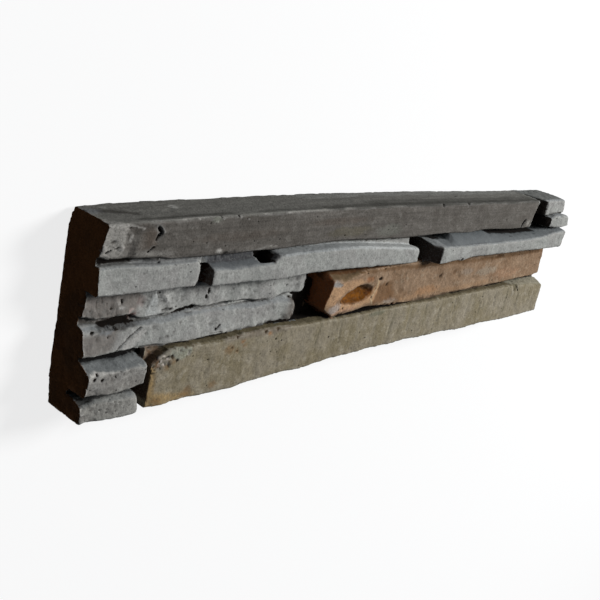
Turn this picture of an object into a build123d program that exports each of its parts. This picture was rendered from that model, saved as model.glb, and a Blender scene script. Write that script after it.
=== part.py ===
from build123d import *
import os

# One cast ledge stone cladding panel, lying on its flat back with the stones up.
# X runs along the panel, +Y is the panel's top edge on the wall, Z is how far it stands off the wall.

# Driving sizes, in mm. Heights are measured up from the lower corner of the back's left end, and depths
# off the line of the back's two long edges. The foot is the lowest point of the stones, and the back
# bulges behind the line of its edges.
panel_length = 691.0
crown = 154.0
foot = -1.5
back_bulge = 3.3
backing_depth = 18.0
root_depth = 12.0
arris = 1.6

# Heights up the panel's face at which the courses of stones meet
top_course = 121.0
thin_course = 96.0
middle_course = 72.0
low_course = 47.0
bottom_course = 20.0

# How far the stones of each kind stand off the wall
recessed_face = 27.0
proud_face = 43.0
ledge_face = 54.0

middle_height = (crown + foot) / 2

os.makedirs("parts", exist_ok=True)


def cross_plane(along):
    """The plane across the panel at this distance from its left end."""
    return Plane.YZ.offset(along - panel_length / 2)


def in_section(height, depth):
    """A point of a cross section, from the height up the panel and the depth off the wall."""
    return (height - middle_height, depth + back_bulge)


def in_face(along, height):
    """A point on the panel's face, from the distance along it and the height up it."""
    return (along - panel_length / 2, height - middle_height)


def off_wall(depth):
    """The plane that faces off the wall at this depth."""
    return Plane.XY.offset(depth + back_bulge)


def stone(stations, rises=(0.0,), run=0.0, root=root_depth):
    """A split stone through its stations: (along, bottom, top, bottom face depth, top face depth).

    With a run, the top slopes up over that much behind its front edge, by one rise for the whole
    stone or by one for each station.
    """
    if len(rises) == 1:
        rises = rises * len(stations)
    with BuildPart() as block:
        for (along, bottom, top, bottom_depth, top_depth), rise in zip(stations, rises):
            corners = [
                in_section(bottom, root),
                in_section(bottom, bottom_depth - arris),
                in_section(bottom + arris, bottom_depth),
                in_section(top - arris, top_depth),
                in_section(top, top_depth - arris),
                in_section(top + rise, root),
            ]
            if run:
                corners.insert(-1, in_section(top + rise, top_depth - arris - run))
            with BuildSketch(cross_plane(along)):
                with BuildLine():
                    Polyline(*corners, close=True)
                make_face()
        loft(ruled=True)
    return block.part


# The backing that carries every stone: (along, bottom edge), which rises a few mm at mid length.
# Its top lies inside the top course, whose stones run right through to the back. The back is flat
# between two heights and eased from there to its long edges.
backing_top = 148.0
flat_top = 135.0
flat_bottom = 21.0
backing_stations = [
    (0.0, -0.8),
    (67.0, -0.4),
    (173.0, 1.6),
    (280.0, 3.4),
    (426.0, 4.2),
    (550.0, 3.4),
    (panel_length, 3.0),
]
with BuildPart() as backing:
    for along, bottom in backing_stations:
        with BuildSketch(cross_plane(along)):
            with BuildLine():
                Polyline(
                    in_section(bottom, 0.0),
                    in_section(bottom, backing_depth),
                    in_section(backing_top, backing_depth),
                    in_section(backing_top, 0.0),
                    in_section(flat_top, -back_bulge),
                    in_section(flat_bottom, -back_bulge),
                    close=True,
                )
            make_face()
    loft(ruled=True)

# Top course: one long bar, then two short stones at the right end
top_slope = 0.8
top_slope_run = 28.0
long_bar = stone(
    [
        (0.0, top_course + 3.2, 149.6, 34.4, 40.8),
        (8.0, top_course + 0.4, 149.8, 34.7, 40.9),
        (24.0, top_course + 1.0, 150.3, 35.4, 41.2),
        (29.0, top_course + 1.2, 150.5, 38.0, 41.8),
        (52.0, top_course, 150.9, 38.0, 41.8),
        (62.0, top_course - 1.6, 151.1, 38.0, 41.8),
        (90.0, top_course - 2.0, 151.5, 38.0, 41.6),
        (155.0, top_course - 1.4, 152.3, 38.0, 41.4),
        (186.0, top_course - 2.0, 152.6, 38.0, 41.3),
        (210.0, top_course - 1.2, 152.9, 38.0, 41.2),
        (258.0, top_course + 0.2, 153.1, 38.0, 41.1),
        (290.0, top_course - 0.4, crown - top_slope, 38.0, 41.0),
        (360.0, top_course - 3.2, 152.7, 38.0, 41.0),
        (430.0, top_course - 2.6, 152.0, 38.0, 41.0),
        (484.0, top_course - 4.4, 151.2, 38.0, 41.0),
        (515.0, top_course - 2.6, 150.8, 38.0, 41.0),
        (577.0, top_course - 5.4, 150.1, 38.0, 41.0),
        (625.0, top_course - 6.2, 149.7, 36.5, 40.4),
    ],
    rises=[top_slope],
    run=top_slope_run,
    root=0.0,
)
top_end_stone = stone(
    [
        (624.4, 131.0, 149.7, backing_depth, backing_depth),
        (644.0, 130.8, 149.6, 39.5, 40.0),
        (648.0, 130.6, 149.6, 41.8, 41.8),
        (panel_length, 133.4, 149.4, 42.5, 41.8),
    ],
    rises=[top_slope],
    run=backing_depth / 2,
    root=0.0,
)
lower_end_stone = stone(
    [
        (645.0, 118.4, 126.4, 44.0, 46.0),
        (650.0, 118.2, 129.8, 49.5, 50.0),
        (660.0, 118.0, 132.4, 50.4, 50.6),
        (676.0, 118.0, 133.4, 52.4, 52.2),
        (panel_length, 119.0, 131.4, 53.6, 52.2),
    ]
)

# Thin course under the bar: a short stone, a stepped one and a ledge that stands furthest off the wall
short_thin_stone = stone(
    [
        (0.0, thin_course + 1.6, 117.4, 39.0, 37.6),
        (20.0, thin_course + 0.4, 118.2, 38.5, 37.6),
        (53.0, thin_course - 0.8, 116.4, 38.0, 37.5),
        (91.0, thin_course - 1.0, 116.2, 38.0, 37.6),
        (95.6, thin_course + 1.8, 112.6, 36.0, 35.6),
    ]
)
low_step_stone = stone(
    [
        (103.2, thin_course, 109.6, 42.2, 42.4),
        (105.0, thin_course - 0.2, 109.6, proud_face, proud_face),
        (131.0, thin_course - 0.4, 109.0, proud_face, proud_face),
        (148.0, thin_course - 1.0, 109.6, proud_face, proud_face),
        (172.0, thin_course - 1.6, 110.0, proud_face, proud_face),
    ],
    rises=[5.0],
    run=12.0,
)
high_step_stone = stone(
    [
        (171.0, thin_course - 1.6, 111.4, 42.6, 42.6),
        (178.0, thin_course - 1.6, 116.0, 43.4, 43.2),
        (226.0, thin_course - 0.4, 116.7, 43.4, 43.2),
        (260.0, thin_course - 0.2, 117.2, 43.4, 43.2),
        (284.0, thin_course - 0.6, 116.2, 43.4, 43.2),
        (331.0, thin_course - 2.8, 112.4, 43.4, 43.2),
        (357.0, thin_course - 3.2, 110.2, 43.4, 43.0),
        (384.0, thin_course - 3.4, 107.8, 43.0, 42.0),
        (388.0, thin_course - 2.0, 106.0, 40.0, 39.0),
    ]
)
ledge_stone = stone(
    [
        (405.0, thin_course - 4.2, 110.2, 37.0, 45.0),
        (413.0, thin_course - 4.4, 110.2, 52.6, 53.6),
        (447.0, thin_course - 2.4, 109.3, 53.0, ledge_face),
        (457.0, thin_course - 4.2, 109.0, 53.0, ledge_face),
        (476.0, thin_course - 1.6, 108.8, 53.0, ledge_face),
        (527.0, thin_course - 2.4, 108.0, 53.0, ledge_face),
        (598.0, thin_course - 3.4, 107.8, 53.0, ledge_face),
        (636.0, thin_course - 3.6, 109.4, 52.6, ledge_face),
        (661.0, thin_course - 4.0, 112.2, 52.2, ledge_face),
        (panel_length, thin_course - 4.4, 113.2, 51.6, ledge_face),
    ],
    rises=[2.6],
    run=14.0,
)

# Left half: two recessed stones above two short ones
upper_recessed_stone = stone(
    [
        (0.0, middle_course + 4.6, 94.5, 26.2, 25.2),
        (12.0, middle_course + 1.2, 94.5, 26.5, 25.6),
        (41.0, middle_course + 2.6, 94.2, 26.8, 26.0),
        (53.0, middle_course - 2.6, 94.0, 27.0, 26.0),
        (77.0, middle_course - 0.8, 94.0, recessed_face, 26.0),
        (101.0, middle_course + 4.0, 93.8, recessed_face, 26.0),
        (112.0, middle_course + 0.6, 93.8, recessed_face, 26.0),
        (157.0, middle_course + 1.0, 93.6, recessed_face, 26.0),
        (185.0, middle_course - 2.6, 93.6, recessed_face, 26.0),
        (215.0, middle_course + 0.4, 93.4, recessed_face, 26.0),
        (232.0, middle_course + 0.2, 93.4, recessed_face, 26.0),
        (240.0, middle_course + 6.0, 93.0, 24.0, 24.0),
    ]
)
lower_recessed_stone = stone(
    [
        (0.0, low_course + 2.0, 67.0, 31.4, 27.4),
        (12.0, low_course - 0.8, 66.0, 31.6, 27.6),
        (58.0, low_course + 0.6, 65.0, 31.6, 28.0),
        (103.0, low_course - 0.4, 68.0, 31.6, 28.0),
        (138.0, low_course + 0.8, 68.0, 31.4, 28.2),
        (183.0, low_course + 0.2, 65.0, 31.2, 28.4),
        (205.0, low_course + 0.2, 65.6, 31.0, 28.6),
        (218.0, low_course + 0.6, 65.2, 31.0, 28.6),
        (224.0, low_course + 3.0, 62.8, 28.0, 26.0),
    ],
    rises=[2.4],
    run=4.0,
)
short_low_stone = stone(
    [
        (0.0, bottom_course + 0.8, 39.0, 40.0, 41.2),
        (20.0, bottom_course - 0.4, 38.0, 40.6, 41.0),
        (40.0, bottom_course - 0.6, 38.6, 40.6, 41.0),
        (50.0, bottom_course + 0.6, 37.6, 40.6, 41.0),
        (54.5, bottom_course + 0.8, 37.0, 39.4, 40.2),
        (57.5, bottom_course + 1.6, 36.0, 35.6, 37.0),
    ],
    rises=[6.0],
    run=13.0,
)
short_bottom_stone = stone(
    [
        (0.0, -0.6, 12.0, 37.8, 37.2),
        (10.0, -1.3, 13.2, 39.7, 38.9),
        (20.0, foot, 14.4, 41.6, 40.6),
        (38.0, foot, 14.6, 43.4, 42.4),
        (46.0, -1.2, 14.2, 43.2, 41.6),
        (49.8, -0.8, 13.2, 41.6, 38.4),
    ],
    rises=[2.6],
    run=8.0,
)

# Right part: a tan stone with a broken nose, over the long bottom stone
tan_stone = stone(
    [
        (248.0, low_course + 14.0, 86.0, 29.0, 34.0),
        (254.6, low_course + 9.0, 86.6, 40.4, 45.0),
        (270.0, low_course - 0.8, 85.2, 40.0, 44.0),
        (285.0, low_course - 0.6, 87.4, 38.6, 42.0),
        (305.0, low_course + 1.4, 89.4, 37.6, 39.6),
        (325.0, low_course + 2.8, 90.4, 37.0, 38.4),
        (375.0, low_course + 0.8, 90.6, 36.8, 37.0),
        (404.0, low_course - 1.8, 90.6, 36.6, 36.8),
        (442.0, low_course - 1.6, 90.4, 36.4, 36.4),
        (481.0, low_course + 0.4, 90.0, 36.2, 36.0),
        (558.0, low_course + 0.4, 89.6, 35.8, 35.0),
        (618.0, low_course + 1.4, 88.6, 35.4, 34.2),
        (671.0, low_course + 1.2, 87.4, 35.0, 33.4),
        (panel_length, low_course + 3.4, 86.0, 35.0, 32.6),
    ],
    rises=[3.0, 4.4, 5.8, 3.8, 1.8, 0.8] + [0.4] * 8,
    run=9.0,
)
long_bottom_stone = stone(
    [
        (60.6, -1.0, 34.6, 38.4, 38.6),
        (66.6, -1.3, 40.6, 39.8, 39.8),
        (76.0, foot, 45.6, 40.0, 40.0),
        (90.0, 0.0, 46.2, 40.1, 40.1),
        (102.0, 0.3, 46.6, 40.2, 40.2),
        (130.0, -0.8, 45.4, 40.4, 40.2),
        (150.0, -1.4, 47.2, 40.7, 40.3),
        (163.0, 0.4, 48.2, 40.8, 40.4),
        (185.0, 1.2, 48.4, 41.0, 40.6),
        (211.0, 2.6, 47.3, 41.2, 40.8),
        (238.0, 1.6, 46.2, 41.4, 41.0),
        (285.0, 4.5, 45.8, 41.8, 41.4),
        (311.0, 4.2, 45.6, 42.0, 41.6),
        (343.0, 5.7, 46.6, 42.4, 41.8),
        (375.0, 5.4, 46.4, 42.7, 42.0),
        (411.0, 6.0, 46.1, 43.0, 42.3),
        (440.0, 4.4, 46.0, 43.3, 42.5),
        (469.0, 5.4, 46.2, 43.6, 42.7),
        (512.0, 2.6, 46.3, 44.0, 43.0),
        (550.0, 4.4, 46.2, 44.4, 43.4),
        (602.0, 2.4, 45.6, 44.8, 43.8),
        (656.0, 3.0, 43.6, 45.2, 44.2),
        (panel_length, 3.2, 38.8, 45.4, 44.6),
    ],
    rises=[0.0] * 21 + [2.4, 4.8],
    run=11.0,
)

# The bottoms of the joints, which are cast solid: (from, to, lowest, highest, depth)
joint_beds = [
    (0.0, 54.0, 114.0, 128.0, 32.0),
    (54.0, 96.0, 113.0, 124.0, 35.0),
    (84.0, 112.0, 112.0, 123.0, 33.0),
    (112.0, 153.0, 112.0, 124.0, 33.5),
    (0.0, 244.0, 91.0, 100.0, 24.0),
    (0.0, 222.0, 62.0, 80.0, 22.5),
    (0.0, 54.0, 36.0, 52.0, 26.5),
    (54.0, 88.0, 33.0, 50.0, 30.5),
    (0.0, 47.0, 9.0, 23.0, 20.0),
    (64.0, 221.0, 42.0, 53.0, 26.0),
    (182.0, 382.0, 104.0, 126.0, 30.0),
    (272.0, panel_length, 85.0, 98.0, 28.0),
    (266.0, panel_length, 37.0, 54.0, 28.0),
]
with BuildPart() as beds:
    for start, end, lowest, highest, depth in joint_beds:
        with BuildSketch(off_wall(root_depth)):
            with Locations(in_face((start + end) / 2, (lowest + highest) / 2)):
                Rectangle(end - start, highest - lowest)
        extrude(amount=depth - root_depth)

# The scooped hollow in the tan stone: a spindle that lies slantwise across its face
hollow_half_length = 29.0
hollow_radius = 10.5
hollow_along = 304.0
hollow_height = 65.5
hollow_depth = 42.0
hollow_slant = 10.0
hollow_middle = (*in_face(hollow_along, hollow_height), hollow_depth + back_bulge)
hollow_plane = Plane(origin=hollow_middle).rotated((0, 0, hollow_slant))
with BuildPart() as hollow:
    with BuildSketch(hollow_plane):
        with BuildLine():
            ThreePointArc((-hollow_half_length, 0), (0, hollow_radius), (hollow_half_length, 0))
            Line((hollow_half_length, 0), (-hollow_half_length, 0))
        make_face()
    revolve(axis=Axis(hollow_plane.origin, hollow_plane.x_dir))

# The pocket that broke out of the low step, under the bar and beside the high step: (along, height).
# The front edge of the step is left standing in front of it.
pocket_floor = 22.0
pocket_front = 40.6
pocket_outline = [
    (149.0, 125.0),
    (152.0, 117.0),
    (156.0, 112.0),
    (159.0, 105.0),
    (173.0, 105.0),
    (173.0, 125.0),
]
with BuildPart() as pocket:
    with BuildSketch(off_wall(pocket_floor)):
        with BuildLine():
            Polyline(*[in_face(along, height) for along, height in pocket_outline], close=True)
        make_face()
    extrude(amount=pocket_front - pocket_floor)

stones = [
    long_bar,
    top_end_stone,
    lower_end_stone,
    short_thin_stone,
    high_step_stone,
    ledge_stone,
    upper_recessed_stone,
    lower_recessed_stone,
    short_low_stone,
    short_bottom_stone,
    tan_stone,
    long_bottom_stone,
]
with BuildPart() as panel:
    add(backing)
    add(beds)
    add(low_step_stone)
    add(pocket, mode=Mode.SUBTRACT)
    add(stones)
    add(hollow, mode=Mode.SUBTRACT)

panel.part.label = "cladding_panel"
export_step(panel.part, "parts/cladding_panel.step")
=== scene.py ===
import math
import random

import bpy
import numpy as np
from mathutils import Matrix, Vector, noise


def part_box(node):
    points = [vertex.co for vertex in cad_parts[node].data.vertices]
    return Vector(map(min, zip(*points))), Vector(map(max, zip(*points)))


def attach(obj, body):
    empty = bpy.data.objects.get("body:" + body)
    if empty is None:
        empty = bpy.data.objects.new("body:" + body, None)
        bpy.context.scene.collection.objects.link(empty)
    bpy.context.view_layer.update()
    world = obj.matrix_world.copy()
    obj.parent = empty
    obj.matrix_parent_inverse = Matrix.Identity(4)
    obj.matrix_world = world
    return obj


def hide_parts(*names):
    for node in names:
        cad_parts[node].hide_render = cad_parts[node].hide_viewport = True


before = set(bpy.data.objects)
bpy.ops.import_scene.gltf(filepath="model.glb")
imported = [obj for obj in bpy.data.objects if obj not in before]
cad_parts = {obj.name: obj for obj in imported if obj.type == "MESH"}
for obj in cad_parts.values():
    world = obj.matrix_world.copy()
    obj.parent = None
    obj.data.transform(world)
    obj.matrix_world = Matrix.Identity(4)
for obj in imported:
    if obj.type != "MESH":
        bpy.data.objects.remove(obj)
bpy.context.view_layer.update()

bpy.context.scene.view_settings.view_transform = "Standard"

# Camera
# The panel lies on its back, and the photo was taken from in front of its left end,
# a little above its top edge, with an ordinary short telephoto view.
camera_place = (-0.709717, 0.241545, 0.500636)
camera_turn = (-31.7579, -46.4345, 17.4922)
focal_length, film_width = 53.774, 36.0
bpy.ops.object.select_all(action="DESELECT")
bpy.ops.object.camera_add(location=camera_place, rotation=[math.radians(turn) for turn in camera_turn])
camera = bpy.context.object
camera.name = "camera"
camera.data.lens = focal_length
camera.data.sensor_width = film_width
bpy.context.scene.camera = camera


# Floor and backdrop
# A plain pale floor that the panel lies on. The camera sees it nearly white, with the soft shadow
# of the panel, and to every other ray it is a mid grey, so that little light comes back from it.
def from_hex(code):
    """An sRGB hex colour as linear red, green, blue and alpha."""
    values = [int(code[i : i + 2], 16) / 255 for i in (1, 3, 5)]
    linear = [v / 12.92 if v <= 0.04045 else ((v + 0.055) / 1.055) ** 2.4 for v in values]
    return (*linear, 1.0)


def add_node(tree, kind, inputs=None, **settings):
    """Adds a shader node, sets its properties, and fills or links its input sockets."""
    made = tree.nodes.new(kind)
    for name, value in settings.items():
        setattr(made, name, value)
    for socket, value in (inputs or {}).items():
        if isinstance(value, bpy.types.NodeSocket):
            tree.links.new(value, made.inputs[socket])
        else:
            made.inputs[socket].default_value = value
    return made


def new_material(name):
    """An empty node material, and its tree."""
    material = bpy.data.materials.new(name)
    material.use_nodes = True
    material.node_tree.nodes.clear()
    return material, material.node_tree


def seen_directly(tree):
    """1 for rays from the camera, a mirror or glass, and 0 for the rays that carry light about."""
    path = add_node(tree, "ShaderNodeLightPath")
    mirror = add_node(
        tree,
        "ShaderNodeMath",
        {0: path.outputs["Is Camera Ray"], 1: path.outputs["Is Glossy Ray"]},
        operation="MAXIMUM",
    )
    either = add_node(
        tree,
        "ShaderNodeMath",
        {0: mirror.outputs[0], 1: path.outputs["Is Transmission Ray"]},
        operation="MAXIMUM",
    )
    return either.outputs[0]


floor_size = 9.0
floor_drop = 0.0002
floor_grey = from_hex("#484848")
floor_white = from_hex("#f4f4f4")
shadow_share = 0.2
bpy.ops.mesh.primitive_plane_add(size=floor_size, location=(0, 0, -floor_drop))
floor = bpy.context.object
floor.name = "studio_floor"

# Matt white paint, which glows evenly to the camera so that only a fifth of the shadow's depth shows
floor_paint, tree = new_material("pale studio floor")
lit = add_node(tree, "ShaderNodeBsdfDiffuse", {"Color": floor_white})
glow = add_node(tree, "ShaderNodeEmission", {"Color": (1, 1, 1, 1), "Strength": 1.0})
shown = add_node(tree, "ShaderNodeMixShader", {0: shadow_share, 1: glow.outputs[0], 2: lit.outputs[0]})
dull = add_node(tree, "ShaderNodeBsdfDiffuse", {"Color": floor_grey})
surface = add_node(
    tree, "ShaderNodeMixShader", {0: seen_directly(tree), 1: dull.outputs[0], 2: shown.outputs[0]}
)
add_node(tree, "ShaderNodeOutputMaterial", {"Surface": surface.outputs[0]})
floor.data.materials.append(floor_paint)

# Studio light
# One large soft lamp over the panel's right end lights the faces of the stones and leaves the left
# end dark, as in the photo. A faint cool sky fills the edges that the lamp doesn't reach.
sky_blue, sky_strength = from_hex("#d8e4f2"), 0.11
sky = bpy.data.worlds.new("pale sky")
bpy.context.scene.world = sky
sky.use_nodes = True
tree = sky.node_tree
tree.nodes.clear()
white = add_node(tree, "ShaderNodeBackground", {"Color": (1, 1, 1, 1), "Strength": 1.0})
faint = add_node(tree, "ShaderNodeBackground", {"Color": sky_blue, "Strength": sky_strength})
both = add_node(
    tree, "ShaderNodeMixShader", {0: seen_directly(tree), 1: faint.outputs[0], 2: white.outputs[0]}
)
add_node(tree, "ShaderNodeOutputWorld", {"Surface": both.outputs[0]})

lamp_direction = Vector((0.60, 0.40, 0.70)).normalized()
lamp_distance, lamp_width, lamp_strength = 3.2, 1.1, 1.36
bpy.ops.object.light_add(type="AREA", location=lamp_direction * lamp_distance)
lamp = bpy.context.object
lamp.name = "soft_lamp"
lamp.rotation_euler = lamp_direction.to_track_quat("Z", "Y").to_euler()
lamp.data.shape = "DISK"
lamp.data.size = lamp_width
lamp.data.energy = lamp_strength * (math.pi * lamp_distance) ** 2

# The casting
# The whole panel is one piece of coloured concrete, cast face down in a soft mould that was taken
# from split stones, and its stones were coloured by hand. The mesh starts as a copy of the solid,
# cut up finely enough to carve.
mm = 0.001
grain = 1.0 * mm
weld = 0.01 * mm
bpy.ops.object.select_all(action="DESELECT")
casting = bpy.data.objects.new("stone_casting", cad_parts["cladding_panel"].data.copy())
bpy.context.scene.collection.objects.link(casting)
casting.select_set(True)
bpy.context.view_layer.objects.active = casting
bpy.ops.mesh.customdata_custom_splitnormals_clear()
bpy.ops.object.mode_set(mode="EDIT")
bpy.ops.mesh.select_all(action="SELECT")
bpy.ops.mesh.remove_doubles(threshold=weld)
bpy.ops.object.mode_set(mode="OBJECT")
mesh = casting.data
mesh.remesh_voxel_size = grain
bpy.ops.object.voxel_remesh()

# Places on the panel are in mm as on the wall: along it from its left end, up from the lower corner
# of that end, and off the line of the back's long edges. The lowest stone hangs below that corner,
# and the back bulges behind that line. The arrays have one row for each point of the mesh.
hanging_foot, back_bulge = 1.5, 3.3
corner_low, corner_high = (np.array(corner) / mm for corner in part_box("cladding_panel"))
datum = corner_low + (0, hanging_foot, back_bulge)
panel_length = corner_high[0] - corner_low[0]
points = np.empty(len(mesh.vertices) * 3)
mesh.vertices.foreach_get("co", points)
points = points.reshape(-1, 3) / mm - datum
normals = np.empty(len(mesh.vertices) * 3)
mesh.vertices.foreach_get("normal", normals)
normals = normals.reshape(-1, 3)
along, height, depth = points.T.copy()


def joint(*stations):
    """The height of the joint between two courses over every point, from (along, height) pairs."""
    return np.interp(along, [s for s, h in stations], [h for s, h in stations])


# The joints under the top course, under the thin course and under the tan stone
under_bar = joint(
    (0, 121), (8, 119.8), (20, 120), (53, 118.8), (62, 118), (90, 117.8), (150, 118.2), (186, 117.6),
    (210, 118.4), (258, 119.3), (290, 118.6), (331, 116.5), (360, 115.4), (430, 115.8), (484, 114.8),
    (512, 115.4), (577, 113.4), (625, 113.4), (636, 114), (691, 117),
)
under_thin = joint(
    (0, 96), (30, 95.2), (90, 94.5), (176, 93.9), (230, 94.5), (284, 94), (331, 92.3), (384, 91.5),
    (447, 92), (598, 91), (691, 89),
)
under_tan = joint(
    (244, 47), (262, 46.2), (285, 46.1), (311, 47), (343, 48), (375, 47), (404, 46.2), (442, 46.1),
    (481, 46.9), (618, 46.8), (691, 45),
)

# The lower recessed stone rests on a short stone, and then on the arris and the bed of a long one.
on_short, on_long_arris, on_long_bed = 45.8, 48.6, 46.6
short_end, arris_depth = 57, 31.5
on_long = np.where(depth > arris_depth, on_long_arris, on_long_bed)
under_recessed = np.where(along < short_end, on_short, on_long)

# How far along the stones end, and the joints that run level
bar_end, short_thin_end, step_end, recessed_end = 624.5, 98, 396, 245
short_low_end, short_bottom_end = 58, 56
between_end_stones, between_recessed, between_short = 130.6, 69.2, 18.6
above_bar = height > under_bar
thin_course = (height > under_thin) & ~above_bar
middle = ~thin_course & ~above_bar
left_half = along < recessed_end
end_stones = above_bar & (along >= bar_end)
lower_recessed = middle & left_half & (height <= between_recessed) & (height > under_recessed)
low = middle & ~lower_recessed & (height <= np.where(left_half, between_recessed, under_tan))
where = {
    "bar": above_bar & (along < bar_end),
    "top_end": end_stones & (height > between_end_stones),
    "lower_end": end_stones & (height <= between_end_stones),
    "short_thin": thin_course & (along < short_thin_end),
    "step": thin_course & (along >= short_thin_end) & (along < step_end),
    "ledge": thin_course & (along >= step_end),
    "upper_recessed": middle & left_half & (height > between_recessed),
    "lower_recessed": lower_recessed,
    "tan": middle & ~left_half & (height > under_tan),
    "short_low": low & (along < short_low_end) & (height > between_short),
    "short_bottom": low & (along < short_bottom_end) & (height <= between_short),
}
where["long_bottom"] = ~np.any(list(where.values()), axis=0)
where = {name: np.flatnonzero(mask) for name, mask in where.items()}

# Carving gathers moves of the points, and paint lies over the stones' own colours as linear red,
# green and blue with how well they cover.
moves = []
paint = np.zeros((len(points), 4))
material_of = {}

# Long bar
# The top course is one long bar of dark grey slate colour, streaked along its length. Paler concrete
# covers its left end, and its front arris has a pale line and small chips.
# The near black is painted shade: it goes into chips, cracks, pits, pockets and joints, where shade falls
painted_shade, chalk, bar_grey, brown_shade = "#160f09", "#b3b0aa", "#9d9a94", "#54483e"


def lumps(here, size, seed, octaves=3):
    """Smooth random heights from -1 to 1 at these points. The lumps' size in mm is one number or three."""
    spots = (points[here] / np.array(size) + seed * 31.7).tolist()
    return np.array([noise.fractal(spot, 1.0, 2.0, octaves) for spot in spots])


def roughen(name, swell, swell_size, grit, grit_size, seed):
    """Gives a stone its split surface: a broad swell and a fine grit, both in mm."""
    here = where[name]
    amount = lumps(here, swell_size, seed, 3) * swell + lumps(here, grit_size, seed + 0.5, 3) * grit
    moves.append((here, normals[here] * amount[:, None]))


def cover(near, amount, colour):
    """Paints these points, each by its own amount from 0 to 1, over what is on them."""
    share = np.clip(np.broadcast_to(amount, len(near)), 0, 1)[:, None]
    paint[near] = paint[near] * (1 - share) + np.array(from_hex(colour)) * share


def spread(near, values, deep, axis, colour, amount):
    """Moves points inwards by up to deep where the values are 1, and paints them."""
    if deep:
        move = np.zeros((len(near), 3))
        move[:, axis] = -deep * values
        moves.append((near, move))
    if colour:
        cover(near, amount * np.clip(values * 1.6, 0, 1), colour)


def mark(name, middle, size, deep=0.0, colour=None, amount=1.0, seed=1, top=False):
    """A pit, lump or stain: its middle and half size are (along, up), or (along, off the wall) on top."""
    across, out = (2, 1) if top else (1, 2)
    here = where[name]
    away = np.hypot(
        (points[here, 0] - middle[0]) / size[0], (points[here, across] - middle[1]) / size[1]
    )
    close = (away < 1.4) & (normals[here, out] > 0.2)
    near = here[close]
    away = away[close] + 0.35 * lumps(near, min(size) * 0.9, seed, 2)
    spread(near, np.clip(1.6 * (1 - away), 0, 1), deep, out, colour, amount)


def line_distance(here, path, across=1):
    """The distance in mm of these points from a line through (along, across) corners."""
    spots = points[here][:, (0, across)]
    nearest = np.full(len(here), np.inf)
    for start, end in zip(path[:-1], path[1:]):
        start, run = np.array(start, float), np.array(end, float) - np.array(start, float)
        share = np.clip((spots - start) @ run / (run @ run), 0, 1)
        nearest = np.minimum(nearest, np.linalg.norm(spots - start - share[:, None] * run, axis=1))
    return nearest


def score(name, path, width, deep=0.0, colour=None, amount=1.0, seed=1, top=False):
    """A crack, ridge or streak along a line on a stone, of this half width in mm."""
    across, out = (2, 1) if top else (1, 2)
    here = where[name]
    here = here[normals[here, out] > 0.2]
    away = line_distance(here, path, across)
    near = here[away < width * 1.6]
    away = away[away < width * 1.6] / width + 0.4 * lumps(near, width * 2.5, seed, 2)
    spread(near, np.clip(1.4 * (1 - away), 0, 1), deep, out, colour, amount)


def scoop(name, outline, slope, deep=0.0, colour=None, amount=1.0, seed=1, top=False):
    """A hollow or a stain inside an outline of (along, up) corners. Its sides slope over this many mm."""
    across, out = (2, 1) if top else (1, 2)
    here = where[name]
    here = here[normals[here, out] > 0.25]
    ragged = np.stack([lumps(here, 5, seed + 3, 2), lumps(here, 5, seed + 5, 2)], axis=1)
    spots = points[here][:, (0, across)] + 0.5 * min(slope, 3) * ragged
    inside = np.zeros(len(here), bool)
    for (x0, y0), (x1, y1) in zip(outline, outline[1:] + outline[:1]):
        crosses = (spots[:, 1] > y0) != (spots[:, 1] > y1)
        at = x0 + (spots[:, 1] - y0) / (y1 - y0 + 1e-9) * (x1 - x0)
        inside ^= crosses & (spots[:, 0] < at)
    near = here[inside]
    rim = line_distance(near, outline + outline[:1], across)
    spread(near, np.clip(rim / slope, 0, 1), deep, out, colour, amount)


def pits(name, count, radius, seed):
    """Bubble pits of up to this radius, as air leaves them in cast concrete, painted dark as shade."""
    chance = random.Random(seed)
    here = where[name]
    here = here[normals[here, 2] > 0.6]
    for number in range(count):
        middle = points[chance.choice(here)]
        size = radius * chance.uniform(0.35, 1.0)
        stretch = chance.uniform(0.8, 1.5)
        mark(name, middle, (size * stretch, size), size * 0.8, painted_shade, 0.6, number)


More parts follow.
